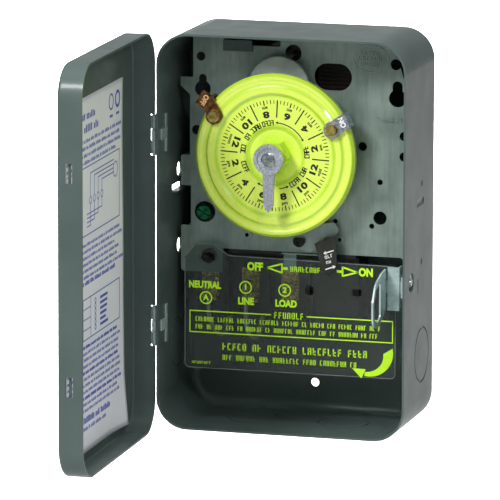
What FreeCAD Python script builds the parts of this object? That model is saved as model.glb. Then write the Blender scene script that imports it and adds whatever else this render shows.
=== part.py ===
import FreeCAD, Part
import math
import os
import re
from FreeCAD import Placement, Rotation, Vector

# A wall-mounted 24-hour mechanical dial time switch in a hinged steel case.
# Frame: origin at the centre of the case's back face, +X right, +Y into the wall, +Z up.
# The door is modelled shut and its parts are then turned open about the hinge pins.

DIMENSIONS = {
    # case, a drawn steel box, open at the front
    "caseWidth": 124.4,
    "caseHeight": 194.4,
    "caseDepth": 60.0,
    "caseCorner": 15.5,
    "backRound": 5.0,
    "gauge": 1.0,
    # door, a shallow pan whose rim overlaps the case's front edge
    "doorWidth": 127.6,
    "doorHeight": 197.0,
    "doorDepth": 12.4,
    "doorCorner": 16.8,
    "doorOverlap": 4.0,
    "doorRound": 2.0,
    "doorOpenAngle": 88.6,
    # hinges on the left wall
    "pinX": -63.9,
    "pinY": -56.4,
    "pinRadius": 0.75,
    "knuckleRadius": 1.5,
    "leafGauge": 0.7,
    "hingeRise": 47.0,
    "hingeTall": 18.6,
    "knuckleTall": 5.4,
    "runningGap": 0.05,
    # wall screws and conduit knockouts
    "screwHoleRadius": 2.6,
    "screwHoleX": 49.0,
    "screwHoleZ": 82.4,
    "lowerHoleRadius": 2.1,
    "lowerHoleX": 1.8,
    "knockoutRadius": 13.7,
    "knockoutX": 23.0,
    "knockoutY": -26.0,
    "sideKnockoutZ": -60.0,
    "scoreWide": 0.8,
    "scoreDeep": 0.45,
    # mechanism plate
    "plateBack": -30.0,
    "plateFront": -31.0,
    "plateTop": 94.5,
    "windowTop": -12.0,
    # dial and its arbor
    "dialX": -6.5,
    "dialZ": 37.7,
    "dialRadius": 40.0,
    "dialBack": -43.0,
    "arborRadius": 3.6,
    "postRadius": 1.6,
    # gear train
    "driveTeeth": 118,
    "smallPinionTeeth": 10,
    "driveModule": 0.5,
    "wheelTeeth": 92,
    "motorTeeth": 12,
    "wheelModule": 0.33,
    "wheelAngle": 90.9,
    "motorAngle": 71.3,
    # manual lever and its shaft
    "leverX": 2.9,
    "leverZ": -5.6,
    "shaftRadius": 2.9,
    # wiring insulator
    "insulatorBack": -35.0,
    "insulatorGauge": 0.8,
    "postX": -43.3,
    "postZ": -15.6,
    # door latch in the right wall
    "latchY": -46.0,
    "latchZ": -21.0,
    # motor leads
    "leadRadius": 1.1,
}

doc = FreeCAD.newDocument("TimeSwitch")
sheet = doc.addObject("Spreadsheet::Sheet", "Dims")
for row, (alias, value) in enumerate(DIMENSIONS.items(), start=1):
    sheet.set(f"A{row}", alias)
    sheet.set(f"B{row}", str(value))
    sheet.setAlias(f"B{row}", alias)
doc.recompute()

NODES = {}


def dim(alias):
    """The number that a cell of the sheet holds."""
    return float(getattr(sheet, alias))


def bind(obj, prop, size):
    """Bind a property to a number or to an expression of the sheet's aliases."""
    def cell(word):
        return f"Dims.{word.group()}" if word.group() in DIMENSIONS else word.group()

    obj.setExpression(prop, re.sub(r"[A-Za-z]+", cell, str(size)))


def publish(node, obj):
    """Give a finished sub-part its label, which names its file."""
    obj.Label = node
    NODES[node] = obj
    return obj


def place(obj, x, y, z):
    for axis, size in zip("xyz", (x, y, z)):
        bind(obj, f"Placement.Base.{axis}", size)
    return obj


# ---- solids whose sizes are bound to the sheet -------------------------------------------------

ALONG = {
    "x": Rotation(Vector(0, 1, 0), 90),
    "y": Rotation(Vector(1, 0, 0), -90),
    "z": Rotation(),
}


def block(x, y, z):
    """A box from its low and high sides along each axis."""
    obj = doc.addObject("Part::Box", "Block")
    for prop, (low, high) in zip(("Length", "Width", "Height"), (x, y, z)):
        bind(obj, prop, f"({high}) - ({low})")
    return place(obj, x[0], y[0], z[0])


def rod(axis, radius, across, span):
    """A round bar along an axis: across holds its centre on the two other axes, in order."""
    obj = doc.addObject("Part::Cylinder", "Rod")
    bind(obj, "Radius", radius)
    bind(obj, "Height", f"({span[1]}) - ({span[0]})")
    obj.Placement = Placement(Vector(), ALONG[axis])
    base = list(across)
    base.insert("xyz".index(axis), span[0])
    return place(obj, *base)


def ball(radius, x, y, z):
    obj = doc.addObject("Part::Sphere", "Ball")
    bind(obj, "Radius", radius)
    return place(obj, x, y, z)


def cut(base, *tools):
    for tool in tools:
        obj = doc.addObject("Part::Cut", "Cut")
        obj.Base = base
        obj.Tool = tool
        base = obj
    return base


def join(*pieces):
    obj = doc.addObject("Part::MultiFuse", "Join")
    obj.Shapes = list(pieces)
    obj.Refine = True
    return obj


def group(*pieces):
    """Separate solids that share one node."""
    obj = doc.addObject("Part::Compound", "Group")
    obj.Links = list(pieces)
    return obj


def tube(axis, outer, inner, across, span):
    return cut(rod(axis, outer, across, span), rod(axis, inner, across, span))


# ---- sketched bodies ------------------------------------------------------------------------------

def origin_plane(body, role):
    return next(feature for feature in body.Origin.OriginFeatures if feature.Role == role)


def rounded_outline(corners):
    """Lines and arcs round a closed outline of (x, z, corner radius) points."""
    count = len(corners)
    starts = []
    ends = []
    arcs = []
    for i, (x, z, radius) in enumerate(corners):
        here = Vector(x, z, 0)
        before = Vector(*corners[i - 1][:2], 0) - here
        after = Vector(*corners[(i + 1) % count][:2], 0) - here
        before.normalize()
        after.normalize()
        half = before.getAngle(after) / 2
        if not radius or abs(half - math.pi / 2) < 1e-6:
            starts.append(here)
            ends.append(here)
            arcs.append(None)
            continue
        back = radius / math.tan(half)
        middle = (before + after).normalize()
        centre = here + middle * (radius / math.sin(half))
        starts.append(here + before * back)
        ends.append(here + after * back)
        arcs.append(Part.Arc(starts[-1], centre - middle * radius, ends[-1]))
    pieces = []
    for i in range(count):
        if arcs[i]:
            pieces.append(arcs[i])
        following = starts[(i + 1) % count]
        if (following - ends[i]).Length > 1e-6:
            pieces.append(Part.LineSegment(ends[i], following))
    return pieces


def circle(x, z, radius):
    return Part.Circle(Vector(x, z, 0), Vector(0, 0, 1), radius)


def slot(x, z, width, height):
    """A window with half-round ends, longer in x than it is high."""
    radius = height / 2
    left, right = x - width / 2 + radius, x + width / 2 - radius
    ends = [(left, z + radius), (left - radius, z), (left, z - radius)]
    return [
        Part.LineSegment(Vector(left, z + radius, 0), Vector(right, z + radius, 0)),
        Part.Arc(Vector(right, z + radius, 0), Vector(right + radius, z, 0), Vector(right, z - radius, 0)),
        Part.LineSegment(Vector(right, z - radius, 0), Vector(left, z - radius, 0)),
        Part.Arc(*(Vector(px, pz, 0) for px, pz in reversed(ends))),
    ]


def fixed_sketch(body, geometry, offset):
    """A sketch in the body's XZ plane, moved by offset towards the front, its geometry blocked."""
    sketch = body.newObject("Sketcher::SketchObject", "Outline")
    sketch.AttachmentSupport = [(origin_plane(body, "XZ_Plane"), "")]
    sketch.MapMode = "FlatFace"
    bind(sketch, "AttachmentOffset.Base.z", offset)
    sketch.addGeometry(geometry, False)
    return sketch


def sheet_body(geometry, back, front):
    """A flat piece with the given outline and holes between two planes of y."""
    body = doc.addObject("PartDesign::Body", "Body")
    sketch = fixed_sketch(body, geometry, f"-({back})")
    pad = body.newObject("PartDesign::Pad", "Pad")
    pad.Profile = sketch
    bind(pad, "Length", f"({back}) - ({front})")
    sketch.Visibility = False
    return body


def turned_body(profile):
    """A piece turned about its local Z axis from a closed (radius, height) profile."""
    body = doc.addObject("PartDesign::Body", "Turned")
    corners = [Vector(radius, height, 0) for radius, height in profile]
    lines = [Part.LineSegment(a, b) for a, b in zip(corners, corners[1:] + corners[:1])]
    sketch = fixed_sketch(body, lines, 0)
    turn = body.newObject("PartDesign::Revolution", "Revolution")
    turn.Profile = sketch
    turn.ReferenceAxis = (sketch, ["V_Axis"])
    turn.Angle = 360
    return body


FACING_FRONT = Rotation(Vector(1, 0, 0), 90)


def facing_front(body, x, y, z):
    """Stand a turned piece with its local Z axis towards the front."""
    body.Placement = Placement(Vector(), FACING_FRONT)
    return place(body, x, y, z)


def rounded_slab(across, up, corner, back, front, round_back, edge_round):
    """A rounded rectangle padded between two planes of y, its edge rounded all round one face."""
    body = doc.addObject("PartDesign::Body", "Slab")
    ring = [(-across, -up, corner), (across, -up, corner), (across, up, corner), (-across, up, corner)]
    pad = body.newObject("PartDesign::Pad", "Pad")
    pad.Profile = fixed_sketch(body, rounded_outline(ring), f"-({back})")
    bind(pad, "Length", f"({back}) - ({front})")
    doc.recompute()
    box = pad.Shape.BoundBox
    face_y = box.YMax if round_back else box.YMin
    edges = [f"Edge{i}" for i, edge in enumerate(pad.Shape.Edges, start=1)
             if abs(edge.BoundBox.YMin - face_y) < 1e-4 and abs(edge.BoundBox.YMax - face_y) < 1e-4]
    rounded = body.newObject("PartDesign::Fillet", "EdgeRound")
    rounded.Base = (pad, edges)
    bind(rounded, "Radius", edge_round)
    return body


def drawn_pan(width, height, corner, back, front, open_front, edge_round):
    """A sheet-metal pan between two planes of y: a rounded slab less a smaller one."""
    gauge = dim("gauge")
    across, up, radius = dim(width) / 2, dim(height) / 2, dim(corner)
    outer = rounded_slab(across, up, radius, back, front, open_front, edge_round)
    if open_front:
        inner_back, inner_front = f"{back} - gauge", f"{front} - 5"
    else:
        inner_back, inner_front = f"{back} + 5", f"{front} + gauge"
    inner = rounded_slab(across - gauge, up - gauge, radius - gauge, inner_back, inner_front, open_front,
                         f"{edge_round} - gauge")
    return cut(outer, inner)


# ---- case ---------------------------------------------------------------------------------------

CASE_LEFT = "-caseWidth / 2"
CASE_RIGHT = "caseWidth / 2"
HINGE_SIDES = {"upper": 1, "lower": -1}


def hinge_centre(side):
    return f"{side} * hingeRise"


def score_rings(axis, across, inside, outside):
    """The two grooves that score a knockout, one in each face of the sheet."""
    outer = "knockoutRadius"
    inner_lip = "knockoutRadius - scoreWide"
    return [
        tube(axis, inner_lip, "knockoutRadius - 2 * scoreWide", across, inside),
        tube(axis, outer, inner_lip, across, outside),
    ]


def side_marks():
    """Two round holes and a lanced tongue in the left wall, and shallow dents in the right one."""
    through_left = (f"{CASE_LEFT} - gauge", f"{CASE_LEFT} + 2 * gauge")
    hole_radius = 3.7
    tongue_y = (-36, -21)
    openings = [rod("x", hole_radius, (-24, z), through_left) for z in (25.2, -12.4)]
    openings.append(block(through_left, tongue_y, (16.0, 19.0)))
    tongue = block((f"{CASE_LEFT} + gauge / 2", f"{CASE_LEFT} + 3.6"), tongue_y, (15.2, 16.0))
    dent_radius, dent_deep = 4.0, 0.45
    dent_x = f"{CASE_RIGHT} + {dent_radius - dent_deep}"
    dents = [ball(dent_radius, dent_x, y, z) for y, z in ((-28.1, 24.8), (-27.9, -13.6))]
    dents.append(rod("y", dent_radius, (dent_x, 15.9), (-37, -24)))
    return openings + dents, tongue


def case_shell():
    shell = drawn_pan("caseWidth", "caseHeight", "caseCorner", "0", "-caseDepth", True, "backRound")
    tools = []
    slot_deep = 1.3
    for side in HINGE_SIDES.values():
        middle = hinge_centre(side)
        tools.append(block((f"{CASE_LEFT} - gauge", f"{CASE_LEFT} + 2 * gauge"),
                           ("pinY + 0.5", f"pinY + 0.5 + {slot_deep}"),
                           (f"{middle} - knuckleTall / 2 - 0.3", f"{middle} + knuckleTall / 2 + 0.3")))
    button_hole = 4.9
    through_right = (f"{CASE_RIGHT} - 2 * gauge", f"{CASE_RIGHT} + gauge")
    tools.append(rod("x", button_hole, ("latchY - 1", "latchZ"), through_right))
    tools.append(block(through_right, (-34.5, -33.5), (-28.7, -21.3)))
    through_back = ("-2 * gauge", "gauge")
    for x in ("-screwHoleX", "screwHoleX"):
        tools.append(rod("y", "screwHoleRadius", (x, "screwHoleZ"), through_back))
    tools.append(rod("y", "lowerHoleRadius", ("lowerHoleX", "-screwHoleZ"), through_back))
    floor = "-caseHeight / 2"
    for x in ("-knockoutX", "knockoutX"):
        tools += score_rings("z", (x, "knockoutY"),
                             (f"{floor} + gauge - scoreDeep", f"{floor} + gauge + 1"),
                             (f"{floor} - 1", f"{floor} + scoreDeep"))
    tools += score_rings("x", ("knockoutY", "sideKnockoutZ"),
                         (f"{CASE_RIGHT} - gauge - 1", f"{CASE_RIGHT} - gauge + scoreDeep"),
                         (f"{CASE_RIGHT} - scoreDeep", f"{CASE_RIGHT} + 1"))
    tools += score_rings("x", ("knockoutY", "sideKnockoutZ"),
                         (f"{CASE_LEFT} + gauge - scoreDeep", f"{CASE_LEFT} + gauge + 1"),
                         (f"{CASE_LEFT} - 1", f"{CASE_LEFT} + scoreDeep"))
    marks, tongue = side_marks()
    publish("case_shell", join(cut(shell, join(*tools), *marks), tongue))


def case_hinges():
    """A strap inside the wall whose one knuckle stands outside it, and the pin through the knuckles."""
    crossbar_front, crossbar_rear = -48.4, -46.4
    for name, side in HINGE_SIDES.items():
        middle = hinge_centre(side)
        mid_low, mid_high = f"{middle} - knuckleTall / 2", f"{middle} + knuckleTall / 2"
        wall = f"{CASE_LEFT} + gauge"
        neck_back = "pinY + knuckleRadius"
        knuckle = rod("z", "knuckleRadius", ("pinX", "pinY"), (mid_low, mid_high))
        neck_front = f"{neck_back} - leafGauge"
        leaf = (wall, f"{wall} + leafGauge")
        neck = block(("pinX", leaf[1]), (neck_front, neck_back), (mid_low, mid_high))
        stem = block(leaf, (neck_front, crossbar_front), (mid_low, mid_high))
        crossbar = block(leaf, (crossbar_front, crossbar_rear),
                         (f"{middle} - hingeTall / 2", f"{middle} + hingeTall / 2"))
        bore = rod("z", "pinRadius + runningGap", ("pinX", "pinY"), (f"{mid_low} - 1", f"{mid_high} + 1"))
        publish(f"hinge_strap_{name}", cut(join(knuckle, neck, stem, crossbar), bore))
        head_tall = 0.5
        low, high = f"{middle} - hingeTall / 2 - 0.1", f"{middle} + hingeTall / 2 + 0.1"
        pin = join(rod("z", "pinRadius", ("pinX", "pinY"), (low, high)),
                   rod("z", "knuckleRadius - 0.2", ("pinX", "pinY"), (high, f"{high} + {head_tall}")),
                   rod("z", "knuckleRadius - 0.2", ("pinX", "pinY"), (f"{low} - {head_tall}", low)))
        publish(f"hinge_pin_{name}", pin)


# ---- door, modelled shut --------------------------------------------------------------------------

def turned_open(obj):
    """Turn a piece of the door from shut to its rest place about the hinge pins."""
    pin = Vector(dim("pinX"), dim("pinY"), 0)
    spin = Rotation(Vector(0, 0, 1), -dim("doorOpenAngle"))
    swing = Placement(pin, Rotation()) * Placement(Vector(), spin) * Placement(-pin, Rotation())
    obj.Placement = swing * obj.Placement
    return obj


DOOR_FRONT = "doorOverlap - caseDepth - doorDepth"
DOOR_RIM = "doorOverlap - caseDepth"


def door():
    pan = drawn_pan("doorWidth", "doorHeight", "doorCorner", DOOR_RIM, DOOR_FRONT, False, "doorRound")
    left, right = "-doorWidth / 2", "doorWidth / 2"
    tools = []
    for side in HINGE_SIDES.values():
        middle = hinge_centre(side)
        tools.append(block((f"{left} - 1", f"{left} + gauge + 1"),
                           ("pinY - knuckleRadius - 0.4", f"{DOOR_RIM} + 1"),
                           (f"{middle} - hingeTall / 2 - 0.8", f"{middle} + hingeTall / 2 + 0.8")))
    # two windows lanced in the free flange, each with a strip left standing inside it
    lance_y, lance_wide, lance_tall = -62.5, 3.4, 9.4
    strip_wide, strip_set_in, strip_end = 1.2, 1.4, 0.9
    strips = []
    for lance_z in (48.3, -52.8):
        low, high = lance_z - lance_tall / 2, lance_z + lance_tall / 2
        across = (lance_y - lance_wide / 2, lance_y + lance_wide / 2)
        tools.append(block((f"{right} - 2 * gauge", f"{right} + 1"), across, (low, high)))
        strip_across = (lance_y - strip_wide / 2, lance_y + strip_wide / 2)
        inner_side = f"{right} - gauge - {strip_set_in}"
        strips.append(block((inner_side, f"{inner_side} + 0.8"), strip_across,
                            (low - strip_end, high + strip_end)))
        for foot in ((low - strip_end, low), (high, high + strip_end)):
            strips.append(block((inner_side, f"{right} - gauge / 2"), strip_across, foot))
    publish("door_pan", turned_open(join(cut(pan, join(*tools)), *strips)))
    for name, side in HINGE_SIDES.items():
        middle = hinge_centre(side)
        spans = [(f"{middle} - hingeTall / 2", f"{middle} - knuckleTall / 2 - 0.3"),
                 (f"{middle} + knuckleTall / 2 + 0.3", f"{middle} + hingeTall / 2")]
        leaf = block((f"{left} - leafGauge", left), (f"{DOOR_FRONT} + 3.4", "pinY - 1"),
                     (f"{middle} - hingeTall / 2", f"{middle} + hingeTall / 2"))
        window = block((f"{left} - 2 * leafGauge", f"{left} + leafGauge"), ("pinY - knuckleRadius - 0.4", "pinY"),
                       (f"{middle} - knuckleTall / 2 - 0.3", f"{middle} + knuckleTall / 2 + 0.3"))
        knuckles = [rod("z", "knuckleRadius", ("pinX", "pinY"), span) for span in spans]
        bore = rod("z", "pinRadius + runningGap", ("pinX", "pinY"),
                   (f"{middle} - hingeTall", f"{middle} + hingeTall"))
        publish(f"door_hinge_leaf_{name}", turned_open(cut(join(leaf, *knuckles), window, bore)))
    label_gauge = 0.2
    inner_face = f"{DOOR_FRONT} + gauge"
    corners = [(-47, -93, 1.5), (56, -93, 1.5), (56, 77.5, 1.5), (-47, 77.5, 1.5)]
    paper = sheet_body(rounded_outline(corners), f"{inner_face} + {label_gauge}", inner_face)
    publish("door_label", turned_open(paper))


# ---- mechanism plate and what is fixed to it -------------------------------------------------------

def mechanism_plate():
    top = dim("plateTop")
    window = dim("windowTop")
    outline = [
        (-52, top, 1.0), (52, top, 1.0), (52, 81, 0.5), (54, 74.5, 0.5), (60, 68, 0.5), (60, -42, 1.0),
        (54.4, -42, 0.8), (54.4, window, 2.6), (-37, window, 0.8), (-37, -24, 0.8), (-58.2, -24, 1.5),
        (-58.2, -1.2, 1.0), (-53.2, -1.2, 1.0), (-53.2, 18.4, 0.6), (-58.2, 18.4, 0.6),
        (-58.2, 33.5, 1.0), (-53.7, 33.5, 1.0), (-53.7, 63.4, 2.0), (-58.4, 67.5, 1.0),
        (-58.4, 71.9, 0.6), (-52, 71.9, 0.8),
    ]
    pinion_x, pinion_z = motor_centre()
    wheel_x, wheel_z = wheel_centre()
    round_holes = [
        (-48.1, 82.4, 2.2), (33.3, 41.7, 2.2), (42.1, 24.6, 1.4), (42.2, 7.0, 3.3), (38.1, 2.8, 1.3),
        (19.8, 4.4, 1.1), (-50.3, 46.0, 2.4), (-46.0, 5.8, 2.1), (-24.6, -4.6, 1.7), (22.1, -4.7, 1.7),
        (56.2, -26.5, 1.3),
        (pinion_x, pinion_z, 4.0), (wheel_x, wheel_z, 1.25),
        (dim("dialX"), dim("dialZ"), 1.7), (dim("leverX"), dim("leverZ"), 3.1),
        (dim("postX"), dim("postZ"), 1.6),
    ]
    geometry = rounded_outline(outline)
    geometry += [circle(*hole) for hole in round_holes]
    geometry += slot(18.4, 75.0, 18.8, 13.2)
    geometry += rounded_outline([(-36, 88.6, 0.5), (-8, 88.6, 0.5), (-8, 91.6, 0.5), (-36, 91.6, 0.5)])
    plate = sheet_body(geometry, "plateBack", "plateFront")
    through = ("plateFront - 1", "plateBack + 1")
    edge_holes = [rod("y", radius, (x, z), through) for x, z, radius in (
        (49.7, 82.4, 2.7), (54.0, 47.5, 2.3), (54.0, 37.5, 2.3))]
    keyholes = []
    for x, z, big, small, rise in ((-47.2, 66.4, 4.0, 1.9, 5.4), (50.6, 65.9, 4.3, 2.5, 5.9)):
        keyholes += [rod("y", big, (x, z), through), rod("y", small, (x, z + rise), through),
                     block((x - small, x + small), through, (z, z + rise))]
    pierced = cut(plate, join(*edge_holes, *keyholes))
    flanges = [block(x, ("plateBack", rear), z) for x, rear, z in (
        ((-58.2, -57.2), -1.3, (19.0, 32.9)),
        ((-58.2, -57.2), -1.3, (-22.4, -3.0)),
        ((59.0, 60.0), -2.3, (-20.0, 60.0)))]
    publish("mechanism_plate", join(pierced, *flanges))


def hanger_tab():
    """The tab from the case's back that the plate hangs on, through the slot at its top."""
    neck = block((-33, -25), ("plateFront - 0.4", "-gauge"), (89.0, 91.2))
    lip = block((-36.5, -22), ("plateFront - 1.6", "plateFront - 0.4"), (85.8, 91.2))
    publish("hanger_tab", join(neck, lip))


def slotted_screw(node, x, y, z, head_radius, head_tall, shank_radius, shank_long, slot_turn):
    """A slotted screw whose head seats at y and whose shank runs back from there."""
    screw = turned_body([(0, -shank_long), (shank_radius, -shank_long), (shank_radius, 0), (head_radius, 0),
                         (head_radius, head_tall * 0.7), (head_radius * 0.85, head_tall), (0, head_tall)])
    slot_wide, slot_deep = 0.9, head_tall * 0.45
    groove = doc.addObject("Part::Box", "Groove")
    groove.Length, groove.Width, groove.Height = 3 * head_radius, slot_wide, head_tall
    groove.Placement = Placement(Vector(), Rotation(Vector(0, 0, 1), slot_turn)) * Placement(
        Vector(-1.5 * head_radius, -slot_wide / 2, head_tall - slot_deep), Rotation())
    finished = facing_front(cut(screw, groove), x, y, z)
    return publish(node, finished) if node else finished


def plate_fittings():
    ground_x, ground_z = -46.0, 5.8
    washer_gauge = 0.3
    publish("ground_washer", tube("y", 5.1, 2.1, (ground_x, ground_z),
                                  (f"plateFront - {washer_gauge}", "plateFront")))
    slotted_screw("ground_screw", ground_x, f"plateFront - {washer_gauge}", ground_z, 3.9, 2.2, 2.0, 7.0, -27)
    rivets = []
    for x, z in ((-24.6, -4.6), (22.1, -4.7)):
        flange = tube("y", 2.6, 1.0, (x, z), ("plateFront - 0.6", "plateFront"))
        barrel = tube("y", 1.6, 1.0, (x, z), ("plateFront", "plateFront + 7"))
        rivets.append(join(flange, barrel))
    publish("block_rivets", group(*rivets))
    collar = rod("y", 3.4, ("postX", "postZ"), ("insulatorBack + 0.3", "plateFront"))
    stud = rod("y", 1.3, ("postX", "postZ"), ("insulatorBack - 3.4", "insulatorBack + 0.3"))
    tail = rod("y", 1.5, ("postX", "postZ"), ("plateFront", "plateBack + 2"))
    crosshead = block(("postX - 2.6", "postX + 2.6"), ("insulatorBack - 3.4", "insulatorBack - 2.2"),
                      ("postZ - 0.8", "postZ + 0.8"))
    publish("insulator_post", join(collar, stud, tail, crosshead))


# ---- terminals and switch --------------------------------------------------------------------------

TERMINAL_X = {"neutral": -45.0, "line": -24.5, "load": -4.5}
BLOCK_FRONT = -24.0


def terminal_block():
    lower = block((-52, 30), (BLOCK_FRONT, -8), (-46, -14))
    left_ear = block((-34, -8), ("plateBack", -8), (-14, 2))
    right_ear = block((15, 30), ("plateBack", -8), (-14, 2))
    ribs = [block((x - 0.8, x + 0.8), (-30, BLOCK_FRONT), (-46, -18)) for x in (-35, -14.5, 6)]
    holes = [rod("y", 1.7, (x, z), ("plateBack - 1", -14)) for x, z in ((-24.6, -4.6), (22.1, -4.7))]
    holes += [rod("y", 1.6, (x, -31), (BLOCK_FRONT - 1, -15)) for x in TERMINAL_X.values()]
    publish("terminal_block", cut(join(lower, left_ear, right_ear, *ribs), join(*holes)))


def terminals():
    screws = []
    for name, x in TERMINAL_X.items():
        plate = block((x - 4.3, x + 4.3), (BLOCK_FRONT - 1, BLOCK_FRONT), (-38.5, -22))
        tongue = block((x + 1.6, x + 4.3), (BLOCK_FRONT - 4.4, BLOCK_FRONT - 1), (-38.5, -36.9))
        hole = rod("y", 1.6, (x, -31), (BLOCK_FRONT - 2, BLOCK_FRONT + 1))
        publish(f"{name}_terminal", cut(join(plate, tongue), hole))
        screws.append(slotted_screw(None, x, BLOCK_FRONT - 1, -31, 3.2, 2.0, 1.5, 6.0, 25))
    publish("terminal_screws", group(*screws))
    publish("fixed_contact", rod("z", 1.2, (-3.0, -17.0), (-14, -13.5)))
    strip = block((-7.8, 10.5), (-29, -24.2), (-13.6, -12.9))
    drop = block((-7.8, -1.5), (BLOCK_FRONT - 1, BLOCK_FRONT), (-22, -13.6))
    publish("load_blade", join(strip, drop))


def switch_lever():
    """The D-shaft with its cam behind the plate, the zinc bracket and the dark hand lever in front."""
    axis = ("leverX", "leverZ")
    shaft_body = rod("y", "shaftRadius", axis, (-36.2, -13))
    flat = block(("leverX - 4", "leverX + 4"), (-37, -33.2), ("leverZ + 1.4", "leverZ + 4"))
    publish("lever_shaft", cut(shaft_body, flat))
    cam_span = (-20, -14.5)
    cam = cut(join(rod("y", 3.9, axis, cam_span), rod("y", 1.5, ("leverX", "leverZ - 4.4"), cam_span)),
              rod("y", "shaftRadius", axis, (-21, -14)))
    publish("switch_cam", cam)
    arm = sheet_body(rounded_outline([(-2, 1.0, 0), (20.2, 4.4, 1.5), (22.6, 0.5, 1.5), (19.5, -4.5, 1.5),
                                      (8.0, -11.0, 0), (0, -9, 0)]), -33.4, -34.4)
    disc_radius, disc_x, disc_z, disc_top = 10.4, 2.2, 0.6, 2.5
    disc = rod("y", disc_radius, (disc_x, disc_z), (-34.4, -33.4))
    above = block((disc_x - disc_radius - 1, disc_x + disc_radius + 1), (-35, -33),
                  (disc_top, disc_z + disc_radius + 1))
    seat = cut(rod("y", "shaftRadius", axis, (-35, -33)),
               block(("leverX - 4", "leverX + 4"), (-36, -32), ("leverZ + 1.4", "leverZ + 4")))
    publish("lever_bracket", cut(join(arm, cut(disc, above)), seat))
    blade = sheet_body(rounded_outline([(11.4, -5.8, 0.6), (21.6, -1.2, 0.6), (22.8, -15.8, 1.5),
                                        (19.0, -21.3, 1.2), (15.6, -19.6, 1.2)]), -37.0, -38.4)
    foot = rod("y", 1.8, (17.2, -4.6), (-37.0, -34.4))
    publish("manual_lever", join(blade, foot))


def contact_parts():
    arm = cut(join(block((-4.2, 12), (-19, -15), (-12.6, -11.8)), rod("y", 1.4, (12, -12.2), (-19, -15))),
              rod("y", 0.8, (12, -12.2), (-20, -14)))
    publish("contact_arm", arm)
    publish("moving_contact", rod("z", 1.2, (-3.0, -17.0), (-13.2, -12.6)))
    pivot = join(rod("y", 0.75, (12, -12.2), (-20.4, -13.6)), block((11.2, 15), (-21.6, -20.4), (-13, -11.4)),
                 block((11.2, 15), (-13.6, -12.4), (-13, -11.4)))
    publish("contact_pivot", pivot)


# ---- motor ------------------------------------------------------------------------------------------

def wheel_centre():
    reach = dim("driveModule") * (dim("driveTeeth") + dim("smallPinionTeeth")) / 2
    turn = math.radians(dim("wheelAngle"))
    return dim("dialX") + reach * math.cos(turn), dim("dialZ") + reach * math.sin(turn)


def motor_centre():
    reach = dim("wheelModule") * (dim("wheelTeeth") + dim("motorTeeth")) / 2
    turn = math.radians(dim("motorAngle"))
    x, z = wheel_centre()
    return x + reach * math.cos(turn), z + reach * math.sin(turn)


def motor():
    shaft_x, shaft_z = motor_centre()
    case_x, case_z, case_radius = -5.0, 79.0, 13.0
    can = join(rod("y", case_radius, (case_x, case_z), ("plateBack", -17)),
               rod("y", case_radius - 3, (case_x, case_z), (-17, -14)))
    shaft_bore = rod("y", 0.85, (shaft_x, shaft_z), ("plateBack - 1", -22))
    oil_well = rod("y", 4.4, (shaft_x, shaft_z), ("plateBack - 1", -25))
    publish("motor_gearcase", cut(can, shaft_bore, oil_well))
    leg = block((16, 23), (-26, -12), (65.5, 82.5))
    top_yoke = block((9.5, 30), (-26, -12), (82.5, 88))
    bottom_yoke = block((9.5, 30), (-26, -12), (60, 65.5))
    publish("motor_core", join(leg, top_yoke, bottom_yoke))
    coil = cut(block((10.5, 28.5), (-29, -9), (66, 82)), block((15.7, 23.3), (-26.3, -11.7), (65, 83)))
    publish("motor_coil", coil)
    spacers = [rod("y", 2.0, (x, z), (-30, -26)) for x in (12.5, 27.0) for z in (62.8, 85.2)]
    publish("motor_spacers", group(*spacers))


# ---- gears --------------------------------------------------------------------------------------------

def gear_solid(teeth, module, y, thickness, centre, turn, bore):
    """A thin spur gear: straight-flanked teeth, a little narrower than their spaces."""
    pitch_radius = module * teeth / 2
    root, tip = pitch_radius - 1.15 * module, pitch_radius + 0.85 * module
    step = 2 * math.pi / teeth
    flanks = ((-0.30, root), (-0.12, tip), (0.12, tip), (0.30, root))
    points = [(turn + step * (i + part), radius) for i in range(teeth) for part, radius in flanks]
    corners = [Vector(radius * math.cos(angle), 0, radius * math.sin(angle)) for angle, radius in points]
    face = Part.Face(Part.makePolygon(corners + corners[:1]))
    solid = face.extrude(Vector(0, -thickness, 0))
    hole = Part.makeCylinder(bore, 3 * thickness, Vector(0, thickness, 0), Vector(0, -1, 0))
    solid = solid.cut(hole)
    solid.translate(Vector(centre[0], y, centre[1]))
    return solid


def feature(node, shape):
    obj = doc.addObject("Part::Feature", "Shape")
    obj.Shape = shape
    return publish(node, obj)


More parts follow.
